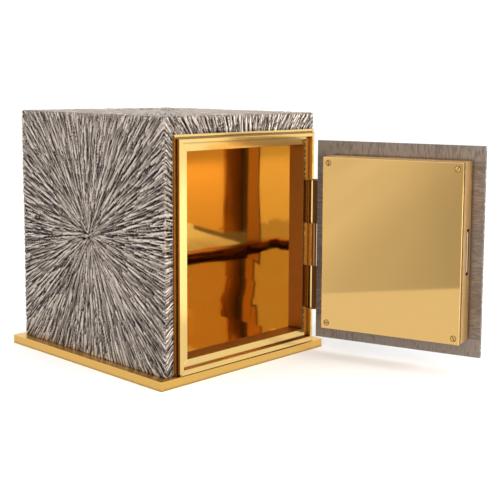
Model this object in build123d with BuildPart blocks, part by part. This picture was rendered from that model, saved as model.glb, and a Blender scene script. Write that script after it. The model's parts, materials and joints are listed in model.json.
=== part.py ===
from build123d import *
import os
from math import cos, pi, radians, sin

os.makedirs("parts", exist_ok=True)

# Tabernacle box: a cast metal cabinet on a brass base plate, with a stepped brass door
# frame, a polished lining and a locking door hung on the right. Millimetres.
# The origin is at the centre of the base plate's underside; -Y is the front, +Z is up.

# Cabinet and base plate
body_width = 278.0
body_depth = 318.0
body_height = 330.0
base_thickness = 12.0
base_side_overhang = 13.5
base_front_overhang = 8.0
base_back_overhang = 10.0
base_corner_radius = 1.5
base_edge_chamfer = 0.8

# Cabinet walls, from the outside in
cast_thickness = 8.0
wall_board_thickness = 12.2
floor_board_thickness = 7.0
back_board_thickness = 15.0
lining_thickness = 1.5

# Door frame
stile_edge_left = 13.5       # cabinet's left edge to the frame's outer lip
rail_edge_top = 23.5
lip_width = 3.0
lip_rise = 1.5
groove_width = 1.8
rim_width = 5.3
rim_rise = 8.0
rim_chamfer = 1.0
landing_width = 11.2
sill_foot_gap = 2.3          # under the bottom bar's rim
landing_rise = 2.0
landing_sink = 1.0           # how far the landing plate goes into the front panel
jamb_wall = 2.0
jamb_depth = 25.0
jamb_lining_gap = 0.1        # right jamb to the lining beside it

# Door
door_gap = 0.7
door_gap_bottom = 1.7
door_gap_top = 5.0
door_back_gap = 0.3
back_plate_thickness = 3.0
door_cast_thickness = 5.2

# Hinge
hinge_foot_margin = 39.7     # door's bottom edge to the lowest knuckle
hinge_head_margin = 57.6
hinge_axis_inset = 0.7       # pin axis outside the rim's outer side
knuckle_radius = 3.25
knuckle_clearance = 0.3
pin_radius = 1.5
pin_running_clearance = 0.05
pin_seat_clearance = 0.02
pin_head_height = 2.0
leaf_thickness = 2.0
door_leaf_width = 22.0
leaf_recess_clearance = 0.2
frame_leaf_thickness = 1.7
frame_leaf_screw_rise = 3.4
frame_leaf_screw_share = 0.1     # screw pitch as shares of the hinge's length
frame_leaf_screw_length = 4.6
door_leaf_screw_inset = 13.0
door_leaf_screw_share = 0.29
knuckle_gap = 0.4
rim_notch_floor = 3.0        # rise of the rim left under the door's knuckles
open_angle = 106.0

# Lock
case_hinge_margin = 26.5
case_free_margin = 16.5
case_bottom_margin = 24.5
case_top_margin = 19.8
case_depth = 33.0
case_wall = 3.0
case_floor = 2.0
pillar_radius = 6.0
pillar_edge_gap = 2.0
cover_thickness = 7.0
cover_skin = 3.0
cover_edge_chamfer = 0.6
cover_screw_length = 18.0
case_screw_inset = 22.0
bolt_height = 54.0
bolt_thickness = 6.0
bolt_length = 76.0
bolt_centre_depth = 14.0     # from the door's back face to the bolt's middle
bolt_slot_side = 1.0         # each side of the bolt
bolt_slot_end = 2.0          # above and below the bolt
bolt_recess = 0.3            # drawn bolt behind the case's side
guide_fit = 0.15
guide_lip = 4.0
guide_depth = 11.0
guide_length = 66.0
guide_start = 5.0
strike_clearance = 1.0
crank_radius = 6.75
crank_pin_radius = 2.0
crank_pin_clearance = 0.18
yoke_end_room = 1.0
crank_disc_radius = 10.0
crank_disc_thickness = 3.6
crank_disc_lift = 5.4
crank_end_gap = 0.4          # barrel's inner end to the crank's disc
keyhole_from_case_side = 55.0
lock_barrel_radius = 11.0
barrel_proud = 1.0
plug_radius = 6.5
plug_running_clearance = 0.05
keyway_width = 2.2
keyway_height = 8.2
key_clearance = 0.1
key_bow_radius = 13.0
key_bow_hole_radius = 5.0
key_bow_overlap = 3.0
key_stem_length = 12.0
key_blade_reach = 12.0
escutcheon_radius = 19.0
escutcheon_thickness = 2.5
escutcheon_screw_circle = 15.0
escutcheon_edge_radius = 1.2
escutcheon_screw_bite = 3.5

# Screws: thread radius, head radius; every one is countersunk and slotted
m25, m25_head = 1.25, 2.3
m3, m3_head = 1.5, 2.8
m4, m4_head = 2.0, 3.75
m5, m5_head = 2.5, 4.6
screw_hole_clearance = 0.02
screw_edge_clearance = 0.1
slot_share = 0.25            # slot width and depth as shares of the head's radius
wall_screw_spread = 110.0    # either side of a wall's middle
wall_screw_x = 85.0
wall_screw_foot = 55.0       # lower row above the base plate
wall_screw_head = 75.0       # upper row below the top
base_screw_x = 105.0
base_screw_spread = 120.0
front_screw_foot = 38.0
front_screw_head = 52.0
rim_screw_foot = 20.0
rim_screw_head = 38.0
rim_screw_x = 70.0           # in the head rail
seat_allowance = 1.5         # left below a screw's tip
plate_skin = 0.5
case_screw_bite = 3.0
front_screw_bite = 14.0      # into the boards' front edges
front_screw_offset = 0.5     # left rim's outer side to the front panel's screws

# Places worked out from the sizes above
base_width = body_width + 2 * base_side_overhang
base_depth = body_depth + base_front_overhang + base_back_overhang
left_x = -body_width / 2
right_x = body_width / 2
front_y = -base_depth / 2 + base_front_overhang
back_y = front_y + body_depth
floor_z = base_thickness
top_z = base_thickness + body_height
mid_y = (front_y + back_y) / 2
mid_z = (floor_z + top_z) / 2

board_x0 = left_x + cast_thickness
board_x1 = right_x - cast_thickness
board_y1 = back_y - cast_thickness
board_z0 = floor_z + floor_board_thickness
board_z1 = top_z - cast_thickness
board_face_x0 = board_x0 + wall_board_thickness
board_face_x1 = board_x1 - wall_board_thickness
board_face_y1 = board_y1 - back_board_thickness
board_face_z1 = board_z1 - wall_board_thickness
lining_x0 = board_face_x0 + lining_thickness
lining_x1 = board_face_x1 - lining_thickness
lining_y1 = board_face_y1 - lining_thickness
lining_z0 = board_z0 + lining_thickness
lining_z1 = board_face_z1 - lining_thickness

rim_x0 = left_x + stile_edge_left + lip_width + groove_width
rim_in_x0 = rim_x0 + rim_width
doorway_x0 = rim_in_x0 + landing_width
doorway_x1 = lining_x1 - jamb_wall - jamb_lining_gap
rim_in_x1 = doorway_x1 + landing_width
rim_x1 = rim_in_x1 + rim_width
doorway_width = doorway_x1 - doorway_x0
rim_z0 = base_thickness + sill_foot_gap
rim_in_z0 = rim_z0 + rim_width
doorway_z0 = rim_in_z0 + landing_width
rim_z1 = top_z - rail_edge_top - lip_width - groove_width
rim_in_z1 = rim_z1 - rim_width
doorway_z1 = rim_in_z1 - landing_width
doorway_height = doorway_z1 - doorway_z0
rim_front_y = front_y - rim_rise
landing_y = front_y - landing_rise

inner_y0 = front_y + cast_thickness
door_x0 = rim_in_x0 + door_gap
door_x1 = rim_in_x1 - door_gap
door_z0 = rim_in_z0 + door_gap_bottom
door_z1 = rim_in_z1 - door_gap_top
door_back_y = landing_y - door_back_gap
plate_front_y = door_back_y - back_plate_thickness
door_front_y = plate_front_y - door_cast_thickness

axis_x = rim_x1 + hinge_axis_inset
axis_y = plate_front_y - knuckle_radius
hinge_z0 = door_z0 + hinge_foot_margin
hinge_z1 = door_z1 - hinge_head_margin
hinge_length = hinge_z1 - hinge_z0
hinge_centre_height = (hinge_z0 + hinge_z1) / 2
knuckle_pitch = hinge_length / 3

case_x0 = door_x0 + case_free_margin
case_x1 = door_x1 - case_hinge_margin
case_z0 = door_z0 + case_bottom_margin
case_z1 = door_z1 - case_top_margin
case_back_y = door_back_y + case_depth
case_mid_z = (case_z0 + case_z1) / 2
bolt_y = door_back_y + bolt_centre_depth
bolt_x0 = case_x0 + bolt_recess
key_x = case_x0 + keyhole_from_case_side
key_z = case_mid_z
crank_y0 = door_back_y + crank_disc_lift
crank_y1 = crank_y0 + crank_disc_thickness
escutcheon_front_y = door_front_y - escutcheon_thickness
barrel_front_y = escutcheon_front_y - barrel_proud
cover_front_y = case_back_y + cover_thickness


def save(piece, name):
    """Labels a finished piece and writes it under its node's name."""
    piece.part.label = name
    export_step(piece.part, f"parts/{name}.step")


def block(low, high, mode=Mode.ADD):
    """A block between two corners, in the part being built."""
    with Locations(tuple((a + b) / 2 for a, b in zip(low, high))):
        Box(*[b - a for a, b in zip(low, high)], mode=mode)


def cut_block(low, high):
    block(low, high, mode=Mode.SUBTRACT)


def screw_solid(head_centre, inward, length, thread, head, turn=0.0):
    """One countersunk slotted screw whose head lies flush at head_centre."""
    seat = Plane(origin=head_centre, z_dir=inward)
    head_height = head - thread
    with BuildPart(seat) as screw:
        Cylinder(thread, length, align=(Align.CENTER, Align.CENTER, Align.MIN))
        with Locations((0, 0, head_height / 2)):
            Cone(head, thread, head_height)
        with Locations(Location((0, 0, 0), (0, 0, turn))):
            Box(3 * head, slot_share * head, 2 * slot_share * head, mode=Mode.SUBTRACT)
    return screw.part


def screw_cutter(head_centre, inward, length, thread, head):
    """The countersunk hole for the same screw, with a hair of clearance."""
    thread += screw_hole_clearance
    head += screw_hole_clearance
    seat = Plane(origin=head_centre, z_dir=inward)
    with BuildPart(seat, mode=Mode.PRIVATE) as hole:
        Cylinder(thread, length + screw_hole_clearance,
                 align=(Align.CENTER, Align.CENTER, Align.MIN))
        with Locations((0, 0, (head - thread) / 2)):
            Cone(head, thread, head - thread)
    return hole.part


def screw_set(places, inward, length, thread, head, first_turn=20.0):
    """A group of like screws, each with its slot left at its own angle."""
    return [screw_solid(place, inward, length, thread, head, first_turn + 67 * i)
            for i, place in enumerate(places)]


def drill(places, inward, length, thread, head):
    """Countersunk holes in the part being built."""
    for place in places:
        add(screw_cutter(place, inward, length, thread, head), mode=Mode.SUBTRACT)


# Screw places, shared by the holes and the screws
wall_rows_y = (mid_y - wall_screw_spread, mid_y + wall_screw_spread)
wall_rows_x = (-wall_screw_x, wall_screw_x)
wall_rows_z = (floor_z + wall_screw_foot, top_z - wall_screw_head)
base_rows = [(x, y) for x in (-base_screw_x, base_screw_x)
             for y in (mid_y - base_screw_spread, mid_y, mid_y + base_screw_spread)]
front_rows_z = (floor_z + front_screw_foot, mid_z, top_z - front_screw_head)
front_rows_x = (rim_x0 - front_screw_offset, board_x1 - m3)
front_rows = [(x, front_y, z) for x in front_rows_x for z in front_rows_z]
rim_mid_x0 = rim_x0 + rim_width / 2
rim_mid_x1 = board_x1 - m25_head - screw_edge_clearance
rim_rows_z = (rim_z0 + rim_screw_foot, rim_z1 - rim_screw_head)
frame_rows = [(x, inner_y0, z) for x in (rim_mid_x0, rim_mid_x1) for z in rim_rows_z]
frame_rows += [(x, inner_y0, (rim_in_z1 + rim_z1) / 2) for x in (-rim_screw_x, rim_screw_x)]
panel_screw_length = wall_board_thickness + cast_thickness / 2
back_screw_length = back_board_thickness + cast_thickness / 2
base_screw_length = base_thickness + floor_board_thickness - seat_allowance
front_screw_length = cast_thickness + front_screw_bite
frame_screw_length = cast_thickness + rim_rise - seat_allowance
door_leaf_screw_length = leaf_thickness + back_plate_thickness - plate_skin
case_screw_length = case_floor + back_plate_thickness + case_screw_bite
escutcheon_screw_length = escutcheon_thickness + escutcheon_screw_bite

left_places = [(board_face_x0, y, z) for y in wall_rows_y for z in wall_rows_z]
right_places = [(board_face_x1, y, z) for y in wall_rows_y for z in wall_rows_z]
back_places = [(x, board_face_y1, z) for x in wall_rows_x for z in wall_rows_z]
top_places = [(x, y, board_face_z1) for x in wall_rows_x for y in wall_rows_y]
left_screws = (left_places, (-1, 0, 0), panel_screw_length, m4, m4_head)
right_screws = (right_places, (1, 0, 0), panel_screw_length, m4, m4_head)
back_screws = (back_places, (0, 1, 0), back_screw_length, m4, m4_head)
top_screws = (top_places, (0, 0, 1), panel_screw_length, m4, m4_head)
edge_screws = (front_rows, (0, 1, 0), front_screw_length, m3, m3_head)
rim_screws = (frame_rows, (0, -1, 0), frame_screw_length, m25, m25_head)
foot_screws = ([(x, y, 0) for x, y in base_rows], (0, 0, 1), base_screw_length, m5, m5_head)

# ---------------------------------------------------------------- base plate
# Thick brass plate with a satin face, standing out all round below the cabinet.
with BuildPart() as base_plate:
    with BuildSketch():
        RectangleRounded(base_width, base_depth, base_corner_radius)
    extrude(amount=base_thickness)
    chamfer(base_plate.faces().sort_by(Axis.Z)[-1].edges(), base_edge_chamfer)
    drill(*foot_screws)
save(base_plate, "base_plate")


# ---------------------------------------------------------------- cast panels
# Five cast panels, mitred where they meet and cut square where they stand on the base.
def cast_wall(outside_centre, across, inward, width, height, drop=cast_thickness):
    """A mitred panel; its sketch's second axis runs down, so a drop lengthens its foot."""
    with BuildSketch(Plane(origin=outside_centre, x_dir=across, z_dir=inward)) as outside:
        with Locations((0, drop / 2)):
            Rectangle(width, height + drop)
    extrude(to_extrude=outside.sketch, amount=cast_thickness, taper=45)
    if drop:
        split(bisect_by=Plane.XY.offset(base_thickness), keep=Keep.TOP)


with BuildPart() as left_side_panel:
    cast_wall((left_x, mid_y, mid_z), (0, -1, 0), (1, 0, 0), body_depth, body_height)
    drill(*left_screws)
save(left_side_panel, "left_side_panel")

with BuildPart() as right_side_panel:
    cast_wall((right_x, mid_y, mid_z), (0, 1, 0), (-1, 0, 0), body_depth, body_height)
    drill(*right_screws)
save(right_side_panel, "right_side_panel")

with BuildPart() as back_panel:
    cast_wall((0, back_y, mid_z), (-1, 0, 0), (0, -1, 0), body_width, body_height)
    drill(*back_screws)
save(back_panel, "back_panel")

with BuildPart() as top_panel:
    cast_wall((0, mid_y, top_z), (1, 0, 0), (0, 0, -1), body_width, body_depth, drop=0)
    drill(*top_screws)
save(top_panel, "top_panel")

with BuildPart() as front_panel:
    cast_wall((0, front_y, mid_z), (1, 0, 0), (0, 1, 0), body_width, body_height)
    cut_block((rim_in_x0, front_y - 1, rim_in_z0), (rim_in_x1, front_y + cast_thickness + 1, rim_in_z1))
    drill(*edge_screws)
    drill(*rim_screws)
save(front_panel, "front_panel")

# ---------------------------------------------------------------- inner boards
# The carcass behind the castings: five boards screwed to the panels and the base.
with BuildPart() as bottom_board:
    block((board_x0, inner_y0, floor_z), (board_x1, board_y1, board_z0))
    drill(*foot_screws)
save(bottom_board, "bottom_board")

with BuildPart() as left_board:
    block((board_x0, inner_y0, board_z0), (board_face_x0, board_y1, board_z1))
    drill(*left_screws)
    drill(*edge_screws)
save(left_board, "left_board")

with BuildPart() as right_board:
    block((board_face_x1, inner_y0, board_z0), (board_x1, board_y1, board_z1))
    drill(*right_screws)
    drill(*edge_screws)
save(right_board, "right_board")

with BuildPart() as top_board:
    block((board_face_x0, inner_y0, board_face_z1), (board_face_x1, board_y1, board_z1))
    drill(*top_screws)
save(top_board, "top_board")

with BuildPart() as back_board:
    block((board_face_x0, board_face_y1, board_z0), (board_face_x1, board_y1, board_face_z1))
    drill(*back_screws)
save(back_board, "back_board")

with BuildPart() as panel_screws:
    for wall in (left_screws, right_screws, back_screws, top_screws):
        add(screw_set(*wall))
save(panel_screws, "panel_screws")

with BuildPart() as front_panel_screws:
    add(screw_set(*edge_screws))
save(front_panel_screws, "front_panel_screws")

with BuildPart() as base_screws:
    add(screw_set(*foot_screws))
save(base_screws, "base_screws")

# ---------------------------------------------------------------- lining
# Polished sheets: the floor lies first, the sides stand on it, the back and ceiling close it.
lining_back_x0 = lining_x0 - lining_thickness
lining_back_x1 = lining_x1 + lining_thickness
sheets = {
    "lining_floor": ((lining_back_x0, inner_y0, board_z0), (lining_back_x1, board_face_y1, lining_z0)),
    "lining_left": ((lining_back_x0, inner_y0, lining_z0), (lining_x0, board_face_y1, board_face_z1)),
    "lining_right": ((lining_x1, inner_y0, lining_z0), (lining_back_x1, board_face_y1, board_face_z1)),
    "lining_ceiling": ((lining_x0, inner_y0, lining_z1), (lining_x1, board_face_y1, board_face_z1)),
    "lining_back": ((lining_x0, lining_y1, lining_z0), (lining_x1, board_face_y1, lining_z1)),
}
for name, (low, high) in sheets.items():
    with BuildPart() as sheet:
        block(low, high)
    save(sheet, name)


# ---------------------------------------------------------------- door frame
# Four mitred brass bars. Each has an outer lip, a groove, a proud rim, the rebate that
# takes the door, the landing that stops it, and a jamb that lines the doorway.
rim_out = landing_width + rim_width
lip_in = rim_out + groove_width
lip_out = lip_in + lip_width
groove_rise = lip_rise / 3


def frame_outline(has_lip):
    """Outline across a bar; x runs outward from the doorway's edge, y towards the back."""
    outline = [(0, -landing_rise), (landing_width, -landing_rise), (landing_width, -rim_rise),
               (rim_out - rim_chamfer, -rim_rise), (rim_out, rim_chamfer - rim_rise)]
    if has_lip:
        outline += [(rim_out, -groove_rise), (lip_in, -groove_rise), (lip_in, -lip_rise),
                    (lip_out, -lip_rise), (lip_out, 0)]
    else:
        outline += [(rim_out, 0)]
    return outline + [(landing_width, 0), (landing_width, landing_sink), (jamb_wall, landing_sink),
                      (jamb_wall, jamb_depth), (0, jamb_depth)]


def frame_bar(corner, outward, along, length, has_lip=True):
    """A bar starting at a doorway corner, run past both ends and mitred at 45 degrees."""
    start = Vector(corner[0], front_y, corner[1])
    upside = 1 if Vector(*along).cross(Vector(*outward)).Y > 0 else -1
    with BuildSketch(Plane(origin=start, x_dir=outward, z_dir=along)) as outline:
        with BuildLine():
            Polyline([(x, upside * y) for x, y in frame_outline(has_lip)], close=True)
        make_face()
    extrude(to_extrude=outline.sketch, amount=length + lip_out)
    extrude(to_extrude=outline.sketch, amount=-lip_out)
    for end, way in ((start, -1), (start + Vector(*along) * length, 1)):
        mitre = Plane(origin=end, z_dir=Vector(*outward) - Vector(*along) * way)
        split(bisect_by=mitre, keep=Keep.TOP)


strike_half = bolt_thickness / 2 + strike_clearance
strike_end = bolt_height / 2 + bolt_slot_end
with BuildPart() as frame_left_stile:
    frame_bar((doorway_x0, doorway_z0), (-1, 0, 0), (0, 0, 1), doorway_height)
    split(bisect_by=Plane.XY.offset(base_thickness), keep=Keep.TOP)
    drill(*rim_screws)
    cut_block((doorway_x0 - jamb_wall - 1, bolt_y - strike_half, case_mid_z - strike_end),
              (doorway_x0 + 1, bolt_y + strike_half, case_mid_z + strike_end))
save(frame_left_stile, "frame_left_stile")

leaf_screw_z = [hinge_centre_height + step * frame_leaf_screw_share * hinge_length for step in (-1, 0, 1)]
frame_leaf_places = [(rim_x1 + frame_leaf_thickness, front_y - frame_leaf_screw_rise, z) for z in leaf_screw_z]
frame_leaf_set = (frame_leaf_places, (-1, 0, 0), frame_leaf_screw_length, m25, m25_head)
pin_room = 2 * pin_head_height
with BuildPart() as frame_right_stile:
    frame_bar((doorway_x1, doorway_z0), (1, 0, 0), (0, 0, 1), doorway_height)
    split(bisect_by=Plane.XY.offset(base_thickness), keep=Keep.TOP)
    drill(*rim_screws)
    drill(*frame_leaf_set)
    with Locations((axis_x, axis_y, hinge_centre_height)):
        Cylinder(knuckle_radius + knuckle_clearance, hinge_length + 2 * pin_room, mode=Mode.SUBTRACT)
    for low in (hinge_z0, hinge_z0 + 2 * knuckle_pitch):
        cut_block((rim_in_x1 - 1, rim_front_y - 1, low - knuckle_clearance),
                  (rim_x1 + 1, front_y - rim_notch_floor, low + knuckle_pitch + knuckle_clearance))
save(frame_right_stile, "frame_right_stile")

with BuildPart() as frame_head_rail:
    frame_bar((doorway_x0, doorway_z1), (0, 0, 1), (1, 0, 0), doorway_width)
    drill(*rim_screws)
save(frame_head_rail, "frame_head_rail")

with BuildPart() as frame_sill_rail:
    frame_bar((doorway_x0, doorway_z0), (0, 0, -1), (1, 0, 0), doorway_width, has_lip=False)
save(frame_sill_rail, "frame_sill_rail")

with BuildPart() as frame_screws:
    add(screw_set(*rim_screws))
save(frame_screws, "frame_screws")

# ---------------------------------------------------------------- hinge, cabinet side
# Middle knuckle and leaf, screwed to the outer side of the rim; the pin is held in it.
frame_knuckle_z0 = hinge_z0 + knuckle_pitch + knuckle_gap / 2
frame_knuckle_height = knuckle_pitch - knuckle_gap

with BuildPart() as hinge_frame_leaf:
    with BuildSketch(Plane.XY.offset(frame_knuckle_z0)):
        with Locations((axis_x, axis_y)):
            Circle(knuckle_radius)
        with Locations((rim_x1 + frame_leaf_thickness / 2, (axis_y + front_y - groove_rise) / 2)):
            Rectangle(frame_leaf_thickness, front_y - groove_rise - axis_y)
        with Locations((axis_x, axis_y)):
            Circle(pin_radius + pin_seat_clearance, mode=Mode.SUBTRACT)
    extrude(amount=frame_knuckle_height)
    drill(*frame_leaf_set)
save(hinge_frame_leaf, "hinge_frame_leaf")

with BuildPart() as frame_leaf_screws:
    add(screw_set(*frame_leaf_set))
save(frame_leaf_screws, "frame_leaf_screws")

with BuildPart() as hinge_pin:
    with BuildSketch(Plane.XY.offset(hinge_z0)):
        with Locations((axis_x, axis_y)):
            Circle(pin_radius)
    extrude(amount=hinge_length)
    for end_z in (hinge_z0 - pin_head_height, hinge_z1):
        with BuildSketch(Plane.XY.offset(end_z)):
            with Locations((axis_x, axis_y)):
                Circle(knuckle_radius)
        extrude(amount=pin_head_height)
save(hinge_pin, "hinge_pin")

# ================================================================ door
# Everything on the door is laid out with the door shut, then swung open about the pin.
door_swing = (Location((axis_x, axis_y, 0)) * Location((0, 0, 0), (0, 0, open_angle))
              * Location((-axis_x, -axis_y, 0)))


def save_on_door(piece, name):
    """Swings a finished door piece to its open rest place and writes it."""
    piece.part.move(door_swing)
    save(piece, name)


leaf_x0 = door_x1 - door_leaf_width
leaf_front_y = plate_front_y - leaf_thickness
leaf_screw_x = door_x1 - door_leaf_screw_inset
door_leaf_places = [(leaf_screw_x, leaf_front_y, hinge_centre_height + step * door_leaf_screw_share * hinge_length)
                    for step in (-1.5, -0.5, 0.5, 1.5)]
door_leaf_screws_set = (door_leaf_places, (0, 1, 0), door_leaf_screw_length, m3, m3_head)
case_screw_x0 = case_x0 + case_screw_inset
case_screw_x1 = case_x1 - case_screw_inset
case_screw_rows = [(case_screw_x0, case_z0 + case_screw_inset), (case_screw_x0, case_z1 - case_screw_inset),
                   (case_screw_x1, case_z0 + case_screw_inset), (case_screw_x1, case_mid_z),
                   (case_screw_x1, case_z1 - case_screw_inset)]
case_screw_places = [(x, door_back_y + case_floor, z) for x, z in case_screw_rows]
case_screws_set = (case_screw_places, (0, -1, 0), case_screw_length, m4, m4_head)
escutcheon_places = [(key_x + escutcheon_screw_circle * cos(radians(a)), escutcheon_front_y,
                      key_z + escutcheon_screw_circle * sin(radians(a))) for a in (90, 210, 330)]
escutcheon_screws_set = (escutcheon_places, (0, 1, 0), escutcheon_screw_length, m25, m25_head)
pillar_inset = pillar_radius + pillar_edge_gap
cover_screw_places = [(x, cover_front_y, z) for x in (case_x0 + pillar_inset, case_x1 - pillar_inset)
                      for z in (case_z0 + pillar_inset, case_z1 - pillar_inset)]
cover_screws_set = (cover_screw_places, (0, -1, 0), cover_screw_length, m4, m4_head)

with BuildPart() as door_back_plate:
    block((door_x0, plate_front_y, door_z0), (door_x1, door_back_y, door_z1))
    with BuildSketch(Plane(origin=(key_x, plate_front_y, key_z), z_dir=(0, 1, 0))):
        Circle(lock_barrel_radius + screw_hole_clearance)
    extrude(amount=back_plate_thickness, mode=Mode.SUBTRACT)
    drill(*door_leaf_screws_set)
    drill(*case_screws_set)
save_on_door(door_back_plate, "door_back_plate")

with BuildPart() as door_face:
    block((door_x0, door_front_y, door_z0), (door_x1, plate_front_y, door_z1))
    room = leaf_recess_clearance
    cut_block((leaf_x0 - room, leaf_front_y - room, hinge_z0 - room),
              (door_x1 + 1, plate_front_y + 1, hinge_z1 + room))
    with BuildSketch(Plane(origin=(key_x, door_front_y, key_z), z_dir=(0, 1, 0))):
        Circle(lock_barrel_radius + screw_hole_clearance)
    extrude(amount=door_cast_thickness, mode=Mode.SUBTRACT)
    drill(*case_screws_set)
    drill(*escutcheon_screws_set)
save_on_door(door_face, "door_face")

# Door leaf: one plate under the cast face, reaching out to the two outer knuckles.
with BuildPart() as hinge_door_leaf:
    block((leaf_x0, leaf_front_y, hinge_z0), (door_x1, plate_front_y, hinge_z1))
    for low in (hinge_z0, hinge_z0 + 2 * knuckle_pitch + knuckle_gap / 2):
        with BuildSketch(Plane.XY.offset(low)):
            with Locations((axis_x, axis_y)):
                Circle(knuckle_radius)
            with Locations(((door_x1 + axis_x) / 2, (leaf_front_y + plate_front_y) / 2)):
                Rectangle(axis_x - door_x1, leaf_thickness)
            with Locations((axis_x, axis_y)):
                Circle(pin_radius + pin_running_clearance, mode=Mode.SUBTRACT)
        extrude(amount=knuckle_pitch - knuckle_gap / 2)
    drill(*door_leaf_screws_set)
save_on_door(hinge_door_leaf, "hinge_door_leaf")

with BuildPart() as door_leaf_screws:
    add(screw_set(*door_leaf_screws_set))
save_on_door(door_leaf_screws, "door_leaf_screws")

with BuildPart() as case_screws:
    add(screw_set(*case_screws_set))
save_on_door(case_screws, "case_screws")

# ---------------------------------------------------------------- lock case and cover
# Shallow brass box on the door's back with a screwed cover and a slot for the bolt.
with BuildPart() as lock_case:
    block((case_x0, door_back_y, case_z0), (case_x1, case_back_y, case_z1))
    cut_block((case_x0 + case_wall, door_back_y + case_floor, case_z0 + case_wall),
              (case_x1 - case_wall, case_back_y + 1, case_z1 - case_wall))
    with BuildSketch(Plane(origin=(0, door_back_y + case_floor, 0), x_dir=(1, 0, 0), z_dir=(0, -1, 0))):
        with Locations([(x, z) for x, _, z in cover_screw_places]):
            Circle(pillar_radius)
    extrude(amount=-(case_depth - case_floor))
    with BuildSketch(Plane(origin=(case_x0, bolt_y, case_mid_z), x_dir=(0, 0, 1), z_dir=(1, 0, 0))):
        SlotOverall(bolt_height + 2 * bolt_slot_end, bolt_thickness + 2 * bolt_slot_side)
    extrude(amount=case_wall, mode=Mode.SUBTRACT)
    with BuildSketch(Plane(origin=(key_x, door_back_y, key_z), z_dir=(0, 1, 0))):
        Circle(lock_barrel_radius + screw_hole_clearance)
    extrude(amount=case_floor, mode=Mode.SUBTRACT)
    drill(*case_screws_set)
    drill(*cover_screws_set)
save_on_door(lock_case, "lock_case")

with BuildPart() as lock_cover:
    block((case_x0, case_back_y, case_z0), (case_x1, cover_front_y, case_z1))
    chamfer(lock_cover.faces().sort_by(Axis.Y)[-1].edges(), cover_edge_chamfer)
    pocket = 2 * pillar_inset
    cut_block((case_x0 + pocket, case_back_y - 1, case_z0 + case_wall),
              (case_x1 - pocket, cover_front_y - cover_skin, case_z1 - case_wall))
    cut_block((case_x0 + case_wall, case_back_y - 1, case_z0 + pocket),
              (case_x1 - case_wall, cover_front_y - cover_skin, case_z1 - pocket))
    drill(*cover_screws_set)
save_on_door(lock_cover, "lock_cover")

with BuildPart() as cover_screws:
    add(screw_set(*cover_screws_set, first_turn=-35))
save_on_door(cover_screws, "cover_screws")

# ---------------------------------------------------------------- bolt guides
# Two channels inside the case, above and below the bolt.
guide_x0 = case_x0 + case_wall + guide_start
guide_y0 = door_back_y + case_floor
guide_y1 = bolt_y + bolt_thickness / 2 + guide_fit + guide_lip
with BuildPart() as bolt_guides:
    for side in (1, -1):
        edge_z = case_mid_z + side * (bolt_height / 2 - guide_lip)
        outer_z = edge_z + side * (guide_lip + guide_depth)
        low_z, high_z = sorted((edge_z, outer_z))
        block((guide_x0, guide_y0, low_z), (guide_x0 + guide_length, guide_y1, high_z))
    groove_half = bolt_thickness / 2 + guide_fit
    cut_block((case_x0, bolt_y - groove_half, case_mid_z - bolt_height / 2 - guide_fit),
             (case_x1, bolt_y + groove_half, case_mid_z + bolt_height / 2 + guide_fit))
save_on_door(bolt_guides, "bolt_guides")

# ---------------------------------------------------------------- lock barrel and escutcheon
with BuildPart() as lock_barrel:
    with BuildSketch(Plane(origin=(key_x, barrel_front_y, key_z), z_dir=(0, 1, 0))):
        Circle(lock_barrel_radius)
        Circle(plug_radius + plug_running_clearance, mode=Mode.SUBTRACT)
    extrude(amount=crank_y0 - crank_end_gap - barrel_front_y)
save_on_door(lock_barrel, "lock_barrel")

with BuildPart() as escutcheon:
    with BuildSketch(Plane(origin=(key_x, door_front_y, key_z), z_dir=(0, -1, 0))):
        Circle(escutcheon_radius)
        Circle(lock_barrel_radius + screw_hole_clearance, mode=Mode.SUBTRACT)
    extrude(amount=escutcheon_thickness)
    front_rim = escutcheon.faces().sort_by(Axis.Y)[0].edges().sort_by(SortBy.LENGTH)[-1]
    fillet(front_rim, escutcheon_edge_radius)
    drill(*escutcheon_screws_set)
save_on_door(escutcheon, "escutcheon")

with BuildPart() as escutcheon_screws:
    add(screw_set(*escutcheon_screws_set))
save_on_door(escutcheon_screws, "escutcheon_screws")

# ---------------------------------------------------------------- plug, crank and key
# The key turns the plug; the crank pin on its inner end drives the bolt half a turn.
with BuildPart() as lock_plug:
    with BuildSketch(Plane(origin=(key_x, barrel_front_y, key_z), z_dir=(0, 1, 0))):
        Circle(plug_radius)
    extrude(amount=crank_y0 - barrel_front_y)
    keyway_half = keyway_width / 2 + key_clearance
    keyway_end_y = barrel_front_y + key_blade_reach + key_clearance
    cut_block((key_x - keyway_half, barrel_front_y - 1, key_z - keyway_height / 2),
              (key_x + keyway_half, keyway_end_y, key_z + keyway_height / 2))
save_on_door(lock_plug, "lock_plug")

crank_pin_y1 = bolt_y + bolt_thickness / 2
with BuildPart() as lock_crank:
    with BuildSketch(Plane(origin=(key_x, crank_y0, key_z), x_dir=(1, 0, 0), z_dir=(0, -1, 0))):
        Circle(crank_disc_radius)
    extrude(amount=-crank_disc_thickness)
    with BuildSketch(Plane(origin=(key_x, crank_y1, key_z), x_dir=(1, 0, 0), z_dir=(0, -1, 0))):
        with Locations((crank_radius, 0)):
            Circle(crank_pin_radius)
    extrude(amount=-(crank_pin_y1 - crank_y1))
save_on_door(lock_crank, "lock_crank")

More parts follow.
